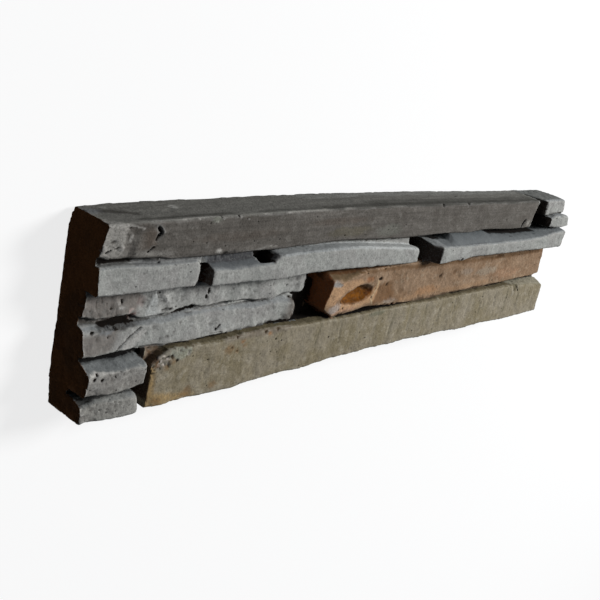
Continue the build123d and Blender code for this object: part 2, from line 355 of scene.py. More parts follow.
def stone_finish(name, body, shade, patch, streak_size, streak, top):
    """A split face of coloured concrete: clouded body colour, streaks, grit, pores and the paint.

    Its clouds are 30 mm wide and its flecks 7 mm. The grit is sand of under 1 mm, and is drawn at
    1.9 mm so that it shows. Concrete is matt. A face that looks up the wall is painted with the top
    tint, which is painted light and shade for how the lamp and sky reach the tops: darker on most
    stones and paler on the bar.
    """
    material, tree = new_material(name)
    place = add_node(tree, "ShaderNodeTexCoord")
    spot = place.outputs["Object"]
    cloud_size, fleck_size, grit_size = 30, 7, 1.9
    cloud, fleck, grit = [
        add_node(
            tree,
            "ShaderNodeTexNoise",
            {"Vector": spot, "Scale": 1 / (size * mm), "Detail": detail, "Roughness": rough},
        ).outputs["Fac"]
        for size, detail, rough in (
            (cloud_size, 5.0, 0.6),
            (fleck_size, 4.0, 0.65),
            (grit_size, 3.0, 0.7),
        )
    ]
    drawn_out = add_node(
        tree, "ShaderNodeMapping", {"Vector": spot, "Scale": [1 / (size * mm) for size in streak_size]}
    )
    streaks = add_node(
        tree,
        "ShaderNodeTexNoise",
        {"Vector": drawn_out.outputs[0], "Scale": 1.0, "Detail": 4.0, "Roughness": 0.6},
    ).outputs["Fac"]
    facing = add_node(tree, "ShaderNodeSeparateXYZ", {0: place.outputs["Normal"]})
    colour = from_hex(body)
    for source, start, stop, most, tint in (
        (cloud, 0.38, 0.62, 1.0, shade),
        (fleck, 0.52, 0.70, 0.7, patch),
        # Faces that look up the wall get the top tint, as painted light and shade
        (facing.outputs["Y"], 0.35, 0.85, 0.85, top),
    ):
        share = add_node(
            tree,
            "ShaderNodeMapRange",
            {"Value": source, "From Min": start, "From Max": stop, "To Max": most},
        )
        colour = add_node(
            tree,
            "ShaderNodeMix",
            {"Factor": share.outputs[0], "A": colour, "B": from_hex(tint)},
            data_type="RGBA",
        ).outputs[2]

    # The paint thins out over the grain, so that its edges look broken.
    painted = add_node(tree, "ShaderNodeAttribute", attribute_name="paint")
    thin = add_node(
        tree, "ShaderNodeMapRange", {"Value": grit, "From Min": 0.3, "From Max": 0.5, "To Min": 0.55}
    ).outputs[0]
    share = add_node(
        tree, "ShaderNodeMath", {0: painted.outputs["Alpha"], 1: thin}, operation="MULTIPLY"
    )
    left = add_node(
        tree, "ShaderNodeMath", {0: 1.0, 1: share.outputs[0]}, operation="SUBTRACT", use_clamp=True
    )
    laid = add_node(
        tree, "ShaderNodeVectorMath", {0: painted.outputs["Color"], "Scale": thin}, operation="SCALE"
    )
    colour = add_node(
        tree,
        "ShaderNodeVectorMath",
        {0: colour, 1: left.outputs[0], 2: laid.outputs[0]},
        operation="MULTIPLY_ADD",
    ).outputs[0]

    # Grit and streaks change the tone, and pores darken it.
    tone = 1.0
    for source, start, stop, low_tone, high_tone in (
        (streaks, 0.2, 0.8, 1 - streak, 1 + streak),
        (grit, 0.2, 0.8, 0.72, 1.28),
        (fleck, 0.2, 0.8, 0.88, 1.12),
        (grit, 0.30, 0.37, 0.62, 1.0),
    ):
        part = add_node(
            tree,
            "ShaderNodeMapRange",
            {"Value": source, "From Min": start, "From Max": stop, "To Min": low_tone, "To Max": high_tone},
        )
        tone = add_node(
            tree, "ShaderNodeMath", {0: tone, 1: part.outputs[0]}, operation="MULTIPLY"
        ).outputs[0]
    toned = add_node(tree, "ShaderNodeVectorMath", {0: colour, "Scale": tone}, operation="SCALE")
    relief = add_node(tree, "ShaderNodeMath", {0: grit, 1: 0.9, 2: fleck}, operation="MULTIPLY_ADD")
    bump = add_node(
        tree, "ShaderNodeBump", {"Height": relief.outputs[0], "Strength": 1.0, "Distance": 0.5 * mm}
    )
    surface = add_node(
        tree,
        "ShaderNodeBsdfPrincipled",
        {
            "Base Color": toned.outputs[0],
            "Roughness": 0.95,
            "Specular IOR Level": 0.08,
            "Normal": bump.outputs[0],
        },
    )
    add_node(tree, "ShaderNodeOutputMaterial", {"Surface": surface.outputs[0]})
    return material


# Slate grey concrete: dark and matt, with a brown cast, and drawn out in fine streaks along the bar;
# its top is painted paler, as painted light
material_of["bar"] = stone_finish(
    "slate grey concrete", "#605c57", "#534f4a", "#6b6863", (60, 2.2, 6), 0.24, "#706f6a"
)
roughen("bar", 0.4, (60, 12, 12), 0.25, (9, 3, 3), 1)

# Brown and greenish clouds on the front, and a paler one low at its left
mark("bar", (36, 138), (12, 9), 0, brown_shade, 0.5, 2)
mark("bar", (130, 134), (60, 5), 0, brown_shade, 0.25, 3)
mark("bar", (250, 141), (50, 4), 0, brown_shade, 0.35, 4)
mark("bar", (270, 130), (34, 6), 0, "#5c5642", 0.4, 5)
mark("bar", (330, 128), (26, 7), 0, "#71736b", 0.4, 6)
score("bar", [(20, 126.6), (40, 125.6), (62, 124)], 2.4, 0.0, bar_grey, 0.35, 7)
mark("bar", (26, 132), (10, 11), 0, "#7b7771", 0.55, 93)

# The pale concrete over the left end, which wraps onto the top
pale_block = [
    (-3, 122), (-3, 151), (18, 151), (19, 147), (18.6, 142), (19.6, 137), (19, 132), (20, 127), (21, 122),
]
scoop("bar", pale_block, 3.0, -0.3, "#94918b", 1.0, 8)
scoop("bar", [(-3, 28), (-3, 46), (19, 46), (14, 36), (4, 29)], 4.0, 0.0, "#8f8d88", 0.8, 92, top=True)
mark("bar", (29, 147), (11, 3), 0.3, "#46413c", 0.6, 9)
mark("bar", (22, 139), (2, 4.5), -0.3, chalk, 0.5, 90)
score("bar", [(15.5, 149), (24, 147.4), (31, 146.2)], 0.8, -0.2, chalk, 0.5, 10)

# A deep curved chip with a pale rim, and smaller chips and lumps to its left; the chips are painted
# black inside, as shade
curved_chip = [(43.4, 146.2), (46.2, 143), (47.6, 141.4), (45.8, 139.4), (44.2, 136.4)]
score("bar", curved_chip, 1.4, 4.0, painted_shade, 1.0, 11)
score("bar", [(44.4, 147.2), (47.4, 145), (49.8, 142)], 0.9, -0.4, chalk, 0.7, 12)
score("bar", [(39.4, 127.2), (43.4, 130.6)], 0.9, 1.8, painted_shade, 1.0, 13)
mark("bar", (8.5, 136), (3.4, 2.2), 1.0, "#7d7a75", 0.5, 14)
mark("bar", (16, 131), (3.4, 3.4), -0.8, chalk, 0.35, 15)
mark("bar", (2, 130.6), (2.6, 4.0), -0.8, chalk, 0.3, 16)
score("bar", [(5.2, 127.6), (8.2, 130)], 0.9, 1.6, painted_shade, 0.95, 17)
score("bar", [(11.6, 130.8), (14.4, 132)], 0.8, 0.8, "#45423e", 0.8, 18)

# The pale line of the front arris, with crumbs that stand out and chips that are broken out, painted
# black inside as shade
score("bar", [(34, 151.2), (60, 151.4), (104, 151.8)], 0.55, 0, chalk, 0.5, 34)
for along_bar, up, size in [
    (66, 151, 2.6), (81, 150.6, 1.2), (99, 148, 1.6), (105, 149.6, 1.0),
    (123, 150.6, 1.2), (132.5, 148.4, 1.0), (151, 152, 2.2), (179, 151.8, 2.4),
]:
    mark("bar", (along_bar, up), (size, 0.9), -0.3, chalk, 0.7, along_bar)
for along_bar, up in [(93, 147.4), (130.8, 148.6), (121.4, 151), (103, 151.2)]:
    mark("bar", (along_bar, up), (1.1, 1.1), 1.0, painted_shade, 0.9, along_bar)
mark("bar", (98, 149.4), (6.4, 2.6), 0.5, "#77796f", 0.7, 19)

# A dab of pale concrete along the lower arris and hollows painted dark as shade, two chips in the
# upper one, and the broken corner beside the end stones, both painted black as shade
mark("bar", (109, 122.8), (3.8, 2.6), -0.6, chalk, 0.75, 20)
mark("bar", (117, 120.6), (3.2, 2.4), 0.6, "#22221e", 0.85, 35)
mark("bar", (126, 121.4), (2.4, 2.0), 0.4, "#2a2a2a", 0.7, 36)
score("bar", [(138, 121), (157, 121.2)], 0.7, 0.0, bar_grey, 0.7, 21)
score("bar", [(159, 122.6), (174, 122.6)], 0.7, 0.0, bar_grey, 0.6, 21)
for along_bar in (413, 462):
    mark("bar", (along_bar, 151), (3.0, 2.2), 1.6, painted_shade, 0.95, along_bar)
mark("bar", (615, 121.6), (4.5, 4.4), -0.4, bar_grey, 0.5, 23)
score("bar", [(606, 125), (603.5, 120), (601, 114)], 2.2, 2.4, painted_shade, 1.0, 22)
score("bar", [(180, 152), (250, 152.6), (340, 152)], 0.7, 0.0, bar_grey, 0.4, 24)

# The top: dark streaks behind the arris, a paler rear half and two worn spots
score("bar", [(12, 14), (24, 17), (36, 24)], 4.4, 0.3, "#33302c", 0.8, 25, top=True)
mark("bar", (6, 12), (7, 8), 0, "#7d8186", 0.5, 37, top=True)
score("bar", [(30, 35), (70, 36), (120, 35)], 2.8, 0.0, "#393834", 0.75, 26, top=True)
score("bar", [(150, 36.5), (200, 36), (250, 36)], 3.5, 0.0, "#3c3b37", 0.5, 33, top=True)
score("bar", [(300, 32), (430, 32), (620, 32)], 10.0, 0.2, "#3c3b37", 0.6, 27, top=True)
score("bar", [(230, 36), (330, 36.4), (430, 36.6), (620, 36.6)], 6.0, 0.2, "#3c3b37", 0.8, 40, top=True)
score("bar", [(230, 6), (400, 7), (610, 8)], 7.0, 0.0, "#8b8c88", 0.5, 28, top=True)
mark("bar", (77, 15), (4.5, 4.5), -0.2, "#a09f9a", 0.75, 29, top=True)
mark("bar", (18, 8), (3, 2.4), -0.2, "#a09f9a", 0.5, 39, top=True)
pits("bar", 26, 1.0, 31)

# Short end stones
# Two rounded grey stones close the top course at the right end, one over the other. They are cast
# with the rest, and a slot runs back between them and the bar and dies out on the top.

# Pale grey concrete: matt and even, finely speckled, and painted a cool darker grey where it faces up,
# as shade
grey_finish = stone_finish(
    "pale grey split concrete", "#92938f", "#898885", "#9c9d99", (14, 10, 14), 0.05, "#7d8081"
)
material_of["top_end"] = grey_finish
material_of["lower_end"] = grey_finish
roughen("top_end", 0.8, 12, 0.35, 3, 31)
roughen("lower_end", 0.8, 12, 0.35, 3, 32)
# Their tops are painted a darker grey, and the slot is painted black as shade.
scoop("top_end", [(620, -3), (694, -3), (694, 38), (620, 38)], 2.0, 0, "#6a6b68", 0.9, 33, top=True)
score("top_end", [(630, 17), (635, 26), (640, 36)], 1.9, 1.0, painted_shade, 1.0, 38, top=True)

# Thin course
# Pale grey split stones under the bar: a short one, one that steps up at mid length, and a ledge
# that stands furthest off the wall. Their faces are flat, with the shallow scallops of splitting.


def flake(name, size, deep, tilt, seed):
    """Covers a stone's face with shallow scallops of about this size, as splitting leaves them."""
    here = where[name]
    here = here[normals[here, 2] > 0.3]
    chance = np.random.default_rng(seed)
    low_end, high_end = points[here].min(0), points[here].max(0)
    count = max(3, int((high_end[0] - low_end[0]) * (high_end[1] - low_end[1]) / size**2))
    middles = chance.uniform(low_end[:2], high_end[:2], (count, 2))
    levels = chance.uniform(-0.5 * deep, 0.5 * deep, count)
    slopes = chance.normal(0, tilt, (count, 2))
    warp = np.stack([lumps(here, size * 0.6, seed + 7), lumps(here, size * 0.6, seed + 9)], axis=1)
    away = (points[here, :2] + warp * size * 0.3)[:, None, :] - middles
    bowls = 3.0 * deep * (away**2).sum(2) / size**2 + levels + (away * slopes).sum(2)
    move = np.zeros((len(here), 3))
    move[:, 2] = np.clip(bowls.min(1) - 0.6 * deep, -1.5 * deep, 1.5 * deep)
    moves.append((here, move))


for name in ("short_thin", "step", "ledge"):
    material_of[name] = grey_finish
flake("short_thin", 26, 0.5, 0.01, 41)
flake("step", 30, 0.6, 0.01, 42)
flake("ledge", 30, 0.6, 0.01, 43)
roughen("short_thin", 0.5, (30, 14, 14), 0.32, 3.5, 44)
roughen("step", 0.6, (30, 12, 14), 0.32, 3.5, 45)
roughen("ledge", 0.5, (30, 10, 14), 0.32, 3.5, 46)

# The tops are painted darker and chipped along the front, a hole in the step is painted near black as
# shade, and the ledge's lower edge has two holes painted dark brown as shade.
scoop("short_thin", [(-3, 30), (-3, 37), (60, 37), (70, 30)], 1.0, 0, "#757673", 0.8, 47, top=True)
darkened_top = "#545759"
mark("step", (136, 36), (44, 9), 0, darkened_top, 0.85, 48, top=True)
scoop("step", [(96, 110), (96, 124), (180, 124), (176, 116), (160, 110)], 1.5, 0, darkened_top, 0.9, 49)
mark("step", (119, 116.5), (3, 2.5), 1.5, "#15130f", 0.9, 49)
scoop("ledge", [(420, 22), (420, 52), (694, 52), (694, 22)], 1.5, 0, "#5a5e60", 0.75, 50, top=True)
for along_stone in (566, 604, 622):
    mark("ledge", (along_stone, 45), (5, 1.6), 0.3, "#3a3c3c", 0.6, along_stone, top=True)
mark("ledge", (496, 93), (4, 2.4), 1.5, "#3d2f22", 0.9, 52)
mark("ledge", (455, 94), (3, 2.2), 1.4, "#3d2f22", 0.8, 53)
pits("short_thin", 5, 1.0, 54)
pits("step", 12, 1.0, 55)
pits("ledge", 10, 1.0, 56)

# Recessed stones
# Two longer grey stones that lie deeper than their neighbours. Their left ends are rough and
# brownish, where the split ran across the grain, and their lower edges are broken.
material_of["upper_recessed"] = grey_finish
material_of["lower_recessed"] = grey_finish
flake("upper_recessed", 22, 1.3, 0.03, 61)
flake("lower_recessed", 24, 1.2, 0.03, 62)
roughen("upper_recessed", 1.0, (24, 12, 12), 0.4, 3.5, 63)
roughen("lower_recessed", 1.0, (24, 12, 12), 0.4, 3.5, 64)
umber, brick, light_break = "#655d57", "#5f4a45", "#a09e9a"

# The upper stone: its brown end with short upright grooves, a pale wedge, pits and a broken edge. Its
# pits and the broken lower edge are painted dark as shade.
scoop("upper_recessed", [(-3, 68), (-3, 98), (56, 98), (52, 84), (48, 68)], 6.0, 0.8, umber, 0.75, 65)
scoop("upper_recessed", [(63, 94), (60, 80), (54, 69), (74, 68)], 1.0, -0.5, "#a8aaa8", 0.8, 66)
for along_stone, up, reach in [(12, 84, 3), (21, 80, 4.5), (29, 77, 2.5), (7, 79, 2), (16, 89, 3)]:
    score(
        "upper_recessed", [(along_stone, up + reach), (along_stone + 0.7, up - reach)],
        0.8, 0.4, "#45403b", 0.35, along_stone,
    )
mark("upper_recessed", (34.6, 84.6), (1.6, 2.0), 3.0, painted_shade, 1.0, 67)
mark("upper_recessed", (33, 80.4), (3.4, 1.7), -0.4, light_break, 0.7, 68)
mark("upper_recessed", (52.5, 83), (5, 6), 0.3, "#75645f", 0.6, 69)
mark("upper_recessed", (44.6, 72.5), (3.4, 4.2), 0.8, brick, 0.9, 70)
score("upper_recessed", [(40.4, 75), (41.4, 78), (45, 79)], 0.8, -0.3, "#b09c95", 0.7, 74)
# A patch painted paler, as painted light, where a scallop of the face falls in shade
mark("upper_recessed", (72, 80), (7, 9), 0, "#a9a8a4", 0.6, 68)
mark("upper_recessed", (118.6, 84.6), (1.9, 2.5), 1.6, "#2e2722", 0.95, 71)
mark("upper_recessed", (115.6, 80.4), (1.5, 1.9), 1.0, "#3a332e", 0.85, 72)
score("upper_recessed", [(86, 70.6), (95, 72), (106, 72.6)], 2.0, 1.5, "#17150c", 1.0, 73)
score("upper_recessed", [(72, 74.6), (81, 75)], 1.6, 0.8, "#3c3936", 0.6, 74)
score("upper_recessed", [(146, 72.4), (166, 72), (186, 71)], 0.8, 0.8, painted_shade, 0.7, 75)

# The lower stone: its brown end, and a slanting break with a pale lip. The break is painted dark as its
# shade, the lip is paler partly as painted light, a painted shadow lies along the top under the stone
# above, and the right end is painted dark as shade.
scoop("lower_recessed", [(-3, 46), (-3, 66), (36, 66), (33, 56), (27, 46)], 6.0, 0.5, umber, 0.65, 76)
mark("lower_recessed", (22, 64), (9, 3.5), 0, "#7d8388", 0.6, 77)
pale_lip = [(33, 46), (36, 51), (43, 56), (54, 62), (60, 60), (50, 50), (46, 45)]
scoop("lower_recessed", pale_lip, 2.0, -0.5, light_break, 0.75, 78)
score("lower_recessed", [(54.5, 63), (47, 59), (40, 54.4), (33, 49.6), (29, 45.6)], 0.7, 1.4, painted_shade, 0.5, 79)
mark("lower_recessed", (32, 66.5), (26, 4), 0, painted_shade, 0.8, 84)
mark("lower_recessed", (14, 56), (15, 9), 0, "#5f5a56", 0.45, 87)
scoop("lower_recessed", [(211, 44), (214, 70), (230, 70), (230, 44)], 7.0, 0, "#33291f", 0.75, 89)

# The hollow that broke out between the two stones, which is always in shadow
shadowed = [
    (14, 69.6), (22, 72), (27, 73.2), (32, 74.2), (38, 75), (40, 73.4), (42.6, 71), (44, 69),
    (41, 67.6), (36, 67), (26, 67), (18, 68),
]
scoop("upper_recessed", shadowed, 0.8, 0.5, painted_shade, 0.95, 88)
scoop("lower_recessed", shadowed, 0.8, 0.5, painted_shade, 0.95, 88)

# Nicks in the lower stone, painted dark as shade, and its brown right end
mark("lower_recessed", (8.6, 64.8), (2.4, 1.5), 1.8, painted_shade, 0.9, 80)
score("lower_recessed", [(133.8, 55.1), (128.8, 52)], 0.9, 1.0, "#3a3734", 0.8, 85)
for along_stone, up in [(24.3, 59.6), (77.3, 54), (90.2, 63), (84.5, 56.3)]:
    mark("lower_recessed", (along_stone, up), (2.4, 1.6), 0.5, "#55524f", 0.5, along_stone)
mark("lower_recessed", (218, 57), (8, 12), 0, umber, 0.5, 81)
pits("upper_recessed", 12, 1.2, 82)
pits("lower_recessed", 5, 0.9, 83)

# Short stones
# Two short grey stones at the lower left corner, with sloping tops and a worn pale arris. The lower
# one hangs a little below the panel's edge.

# Brownish grey concrete: as matt as the pale grey, darker and warmer, and painted a bluish darker grey
# where it faces up, as shade
worn_finish = stone_finish(
    "brownish grey split concrete", "#868480", "#787570", "#93928d", (14, 10, 14), 0.05, "#666a6b"
)
material_of["short_low"] = worn_finish
material_of["short_bottom"] = worn_finish
flake("short_low", 18, 0.9, 0.02, 91)
flake("short_bottom", 18, 0.9, 0.02, 92)
roughen("short_low", 0.8, 12, 0.4, 3.5, 93)
roughen("short_bottom", 0.8, 12, 0.4, 3.5, 94)
score("short_low", [(3, 37.8), (9, 38.2), (15, 37.4)], 1.3, -0.4, chalk, 0.8, 95)
score("short_low", [(15, 37.4), (28, 36.6)], 0.7, -0.3, chalk, 0.5, 98)
# Pits along the arris and on the lower stone are painted dark, as shade
for along_stone, up in [(9.3, 37.4), (6.6, 34.4), (14, 32.7)]:
    mark("short_low", (along_stone, up), (1.6, 1.4), 1.4, painted_shade, 1.0, along_stone)
for along_stone, up in [(28, 12.6), (32, 12), (22, 5), (30, 5)]:
    mark("short_bottom", (along_stone, up), (1.3, 1.0), 1.0, "#2c2a27", 0.8, along_stone)
mark("short_bottom", (28, 8), (34, 12), 0, "#96958f", 0.5, 99)
pits("short_low", 9, 1.1, 96)
pits("short_bottom", 9, 1.1, 97)

# Tan stone
# A rust brown stone that starts at mid length with a broken nose. A flake has sprung out of the
# nose and left a scooped hollow, whose fresh surface is a strong orange brown.

# Tan concrete: a warm matt brown, with deeper clouds and greyer flecks, and painted darker where it
# faces up, as shade
material_of["tan"] = stone_finish(
    "tan split concrete", "#86705b", "#7a634e", "#8f7f6c", (24, 8, 14), 0.08, "#6b5a48"
)
flake("tan", 30, 0.8, 0.02, 101)
roughen("tan", 0.9, (28, 12, 12), 0.4, 4, 102)

# The nose: dark right of the hollow, pale on its left and below it, dark along its upper edge. The pale
# parts are partly painted light on the facets, and the upper edge is partly painted shade under the
# stone above.
nose_band = "#b08d6c"
mark("tan", (345, 62), (26, 14), 0, "#664a31", 0.8, 103)
mark("tan", (372, 56), (22, 8), 0, "#6d5138", 0.5, 104)
above_hollow = [(249, 84), (262, 84), (300, 84), (316, 78), (284, 70), (270, 58), (252, 58)]
scoop("tan", above_hollow, 5.0, 0, nose_band, 0.85, 105)
below_hollow = [(270, 60), (273, 51), (300, 50), (332, 55), (338, 66), (334, 80), (328, 70), (300, 56)]
scoop("tan", below_hollow, 2.2, 0, nose_band, 0.8, 106)
upper_edge = [(252, 92), (252, 87), (262, 86.5), (268, 83), (280, 84), (300, 88), (320, 90), (320, 92)]
scoop("tan", upper_edge, 1.0, 0, "#5f4e38", 0.85, 127)

# The scooped hollow, with painted shade under its upper edge, a paler band low in it as painted light,
# and a pale ridge to its right
tan_hollow = [
    (277.8, 59.7), (283, 64), (290, 71), (296, 76.6), (305.6, 76.1), (313, 73), (326, 69.2), (328, 65),
    (325, 61), (316, 57), (300, 54.6), (288, 56),
]
scoop("tan", tan_hollow, 3.0, 1.0, "#6d4214", 1.0, 107)
score("tan", [(288, 70), (297, 74.4), (306, 74), (320, 69.6)], 2.6, 0, "#452809", 0.6, 108)
score("tan", [(290, 61), (304, 62), (316, 62)], 2.4, 0, "#8a5518", 0.6, 109)
pale_ridge = [(331.9, 77.2), (333, 67.5), (330, 62.6), (326.4, 59), (330.3, 53.2)]
score("tan", pale_ridge, 1.2, -0.4, "#b3a184", 0.85, 110)
mark("tan", (317, 80), (9, 3.4), 0.3, "#8f5a34", 0.5, 111)
mark("tan", (336, 78.4), (4, 2.0), 1.2, "#2e1c0e", 0.9, 112)
mark("tan", (352, 70), (3.4, 2.4), 1.0, "#38240f", 0.8, 113)

# A grey chip at the nose's left, and pale patches and bubbles along its foot, the bubbles painted near
# black as shade
grey_chip = [(252, 85.6), (259, 86.6), (271, 80.5), (269.6, 78), (256, 79.8), (253, 83)]
scoop("tan", grey_chip, 1.2, 0.4, "#8c8986", 0.95, 114)
mark("tan", (255, 56.4), (3, 4), 0, "#5d5236", 0.7, 115)
mark("tan", (272, 54.5), (10, 6), -0.3, "#9c928b", 0.85, 116)
score("tan", [(252, 51), (264, 49.4), (276, 50), (290, 51.4), (302, 52.4)], 1.4, -0.3, "#9c7c66", 0.85, 117)
for along_stone, up in [(285.2, 53.8), (279.3, 52.8), (327, 60)]:
    mark("tan", (along_stone, up), (1.4, 1.2), 1.0, "#2f1d0c", 1.0, along_stone)

# The long face: painted shade along its upper edge under the thin course, and clouds of grey and rust
score("tan", [(300, 88.4), (380, 86), (460, 84), (560, 81), (691, 81)], 2.6, 0, "#5a4027", 0.7, 118)
score("tan", [(380, 51), (480, 52), (560, 53)], 3.0, 0, "#93765a", 0.5, 119)
mark("tan", (360, 52), (14, 2.6), 0, "#8e8a84", 0.45, 120)
mark("tan", (452, 69), (3, 3), 0.8, "#4f3a28", 0.7, 121)
mark("tan", (478, 72), (5, 4), 0.5, "#5f4733", 0.6, 122)
mark("tan", (552, 66), (26, 6), 0, "#8b8071", 0.65, 123)
mark("tan", (505, 70), (14, 5), 0, "#857b70", 0.5, 130)
mark("tan", (430, 56), (30, 5), 0, "#96704e", 0.5, 131)
mark("tan", (600, 60), (40, 7), 0, "#94745c", 0.4, 124)
mark("tan", (575, 82), (12, 3), 0.4, "#3f2813", 0.8, 125)
pits("tan", 22, 1.3, 126)

# Long bottom stone
# The olive stone of the lowest course is the largest. It has faint upright tool marks, a crumbled
# upper left corner and a notch near its right end.

# Olive concrete: matt, with a greenish brown cast, faint upright streaks and many small pores, and
# painted darker where it faces up, as shade
material_of["long_bottom"] = stone_finish(
    "olive split concrete", "#857d6d", "#7a715c", "#918a7b", (5, 18, 10), 0.08, "#574f3b"
)
roughen("long_bottom", 0.7, (13, 22, 14), 0.36, (4, 5, 4), 131)

# The crumbled corner: grey inside, with crumbs and holes along the upper edge to its right, many of
# them painted near black as shade
crumbled = [(58, 30), (58, 50), (92, 50), (94, 42), (84, 36), (76, 30), (68, 28)]
scoop("long_bottom", crumbled, 5.0, 1.0, "#77736b", 0.7, 132)
grey_crumbs = [(76, 35), (76, 45), (84, 47), (100, 46), (100, 40), (90, 35)]
scoop("long_bottom", grey_crumbs, 3.0, 0, "#85887c", 0.7, 138)
chance = random.Random(133)
for number in range(30):
    along_stone = 62 + 40 * chance.random() ** 1.6
    up = 46 - 14 * chance.random() * (1.2 - (along_stone - 62) / 90)
    size = chance.uniform(0.8, 1.7)
    tint = chance.choice([painted_shade, "#3a2c1e", "#a8a59d"])
    mark("long_bottom", (along_stone, up), (size, size * chance.uniform(0.7, 1.4)), 0.7, tint, 0.75, number)
scoop("long_bottom", [(57, 44), (57, 52), (74, 52), (71, 45.5)], 2.0, 0.4, "#1d1915", 0.6, 139)
score("long_bottom", [(63.5, 42), (65.6, 37.6), (66, 34)], 1.6, 0, "#6a4a2c", 0.85, 140)
for along_stone, up in [(66.5, 40), (69.5, 37.4), (67.2, 34.6), (71.4, 34.4), (71, 41), (75, 38)]:
    mark("long_bottom", (along_stone, up), (1.6, 1.3), -0.5, "#c0b6ae", 0.85, along_stone)

# Ochre along the left and lower edges, and spots of rust
score("long_bottom", [(61, 32), (61.4, 18), (61.4, 3)], 1.8, 0, "#8a6a3c", 0.55, 134)
ochre_edge = [(57, 36), (66, 32), (68, 12), (110, 4), (110, -3), (57, -3)]
scoop("long_bottom", ochre_edge, 5.0, 0, "#9a8158", 0.75, 149)
for along_stone, up, size in [
    (80, 36, 4), (74, 31, 3), (140, 36, 6), (150, 33, 3), (158, 37, 3), (100, 4, 8), (70, 3, 6), (128, 7, 5)
]:
    mark("long_bottom", (along_stone, up), (size, size * 0.8), 0, "#6f5230", 0.55, along_stone)

# Brown dirt and holes along the upper edge, the holes painted dark as shade
scoop("long_bottom", [(134, 43), (134, 50), (213, 50), (213, 43)], 1.5, 0, "#6f665c", 0.7, 145)
for along_stone, up, size in [(187, 43.4, 3.4), (155, 41, 3)]:
    mark("long_bottom", (along_stone, up), (size, size * 0.6), 0, "#8f6034", 0.6, along_stone)
for along_stone, up, size in [
    (150, 33, 1.6), (148.5, 45.5, 2.2), (181.6, 45.7, 2.4), (196.7, 45.8, 2.2), (143, 37, 1.3),
    (196, 37, 1.4),
]:
    mark("long_bottom", (along_stone, up), (size, size * 0.8), 0.9, "#3d2c19", 0.85, along_stone)
mark("long_bottom", (340, 43), (16, 3), 0, "#55594a", 0.6, 146)

# The paler top of the right end, and the notch beside it
scoop("long_bottom", [(606, 24), (694, 24), (694, 44), (612, 44)], 3.0, 0, "#8b8778", 0.8, 148, top=True)
notch = [(612, 50), (614, 42), (619, 35), (624, 38), (627, 43), (628, 50)]
scoop("long_bottom", notch, 2.0, 1.2, "#514b38", 0.8, 135)
score("long_bottom", [(623.5, 42.9), (627.8, 36.8)], 1.3, 0.8, "#3a3526", 0.7, 147)
mark("long_bottom", (616, 36), (3.4, 6), -0.2, "#9a958a", 0.5, 136)

# Faint tool marks, which lean a little to either side
for along_stone in range(255, 690, 29):
    lean = chance.uniform(-3, 3)
    tool_mark = [(along_stone, 42), (along_stone + lean, chance.uniform(12, 26))]
    width = chance.uniform(1.2, 3.0)
    tint = chance.choice(["#5f5c49", "#8f897c"])
    score("long_bottom", tool_mark, width, 0.3, tint, 0.3, along_stone)
pits("long_bottom", 34, 1.2, 137)

# Arrises and joints
# A cast panel's arrises crumble as it is stripped from the mould and handled, and its creases and
# joints are painted dark as the shade that falls in them. Both are worked out for the whole casting,
# once every stone is carved.


def fade(values, start, stop):
    """0 up to start and 1 from stop on, with an even slope between. Start may be the larger."""
    return np.clip((values - start) / (stop - start), 0, 1)


for near, move in moves:
    points[near] += move
edge_ends = np.empty(len(mesh.edges) * 2, int)
mesh.edges.foreach_get("vertices", edge_ends)
first, second = edge_ends.reshape(-1, 2).T
neighbours = np.bincount(edge_ends, minlength=len(points))[:, None]


def relax(values, rounds):
    """Each point's value averaged with its neighbours', this many times over."""
    for _ in range(rounds):
        total = np.empty_like(values)
        for column in range(values.shape[1]):
            total[:, column] = np.bincount(first, values[second, column], len(values))
            total[:, column] += np.bincount(second, values[first, column], len(values))
        values = 0.5 * values + 0.5 * total / neighbours
    return values


# Worn stretches of the arrises, in patches of 11 mm: not the lower edge, nor the left end
everywhere = np.arange(len(points))
facing_right, facing_up, facing_out = normals.T
smooth = relax(points, 10)
bulge = ((points - smooth) * normals).sum(1)
worn = fade(lumps(everywhere, 11, 141), -0.14, 0.26) * fade(bulge, 0.2, 0.45)
worn *= fade(height, 4, 10) * fade(along, 3, 7)
points += (smooth - points) * worn[:, None] * 0.9

# The front arrises of the left end are crisp, its back corner is round, and the lower edge keeps its
# full height.
at_left = fade(along, 4, 2) * fade(depth, 10, 13)
points += (points - smooth) * at_left[:, None] * 0.8
back_corner = fade(along, 8, 5) * fade(depth, 7, 4) * (height > 146)
points += (smooth - points) * back_corner[:, None]
points[:, 1] -= 0.8 * fade(-facing_up, 0, 0.5) * fade(height, 10, 8)

# Rubbed arrises are paler than the stones.
worn_tint = {"bar": "#737270", "tan": "#ac947c", "long_bottom": "#9c978a"}
other_tint = "#a6a5a0"
rubbed = 0.45 * fade(bulge, 0.225, 0.45) * (facing_right > -0.35)
for name, here in where.items():
    cover(here, rubbed[here], worn_tint.get(name, other_tint))

# The joints are found as the places that lie deeper than the average of what is 6 mm around them.
points = np.clip(points, corner_low - datum, corner_high - datum)
cells = np.rint(points[:, :2] - (corner_low - datum)[:2]).astype(int)
surface_map = np.zeros(cells.max(0) + 1)
np.maximum.at(surface_map, (cells[:, 0], cells[:, 1]), points[:, 2])
reach = 6
window = np.ones(2 * reach + 1) / (2 * reach + 1)
for axis in (0, 1):
    margins = [(reach, reach) if a == axis else (0, 0) for a in (0, 1)]
    padded = np.pad(surface_map, margins, mode="edge")
    surface_map = np.apply_along_axis(lambda row: np.convolve(row, window, "valid"), axis, padded)
sunk = surface_map[cells[:, 0], cells[:, 1]] - points[:, 2]


def in_block(*spans):
    """Which points lie in this block of (from, to) along, up and off the wall."""
    axes = zip((along, height, depth), spans)
    return np.all([(values > low) & (values < high) for values, (low, high) in axes], axis=0)


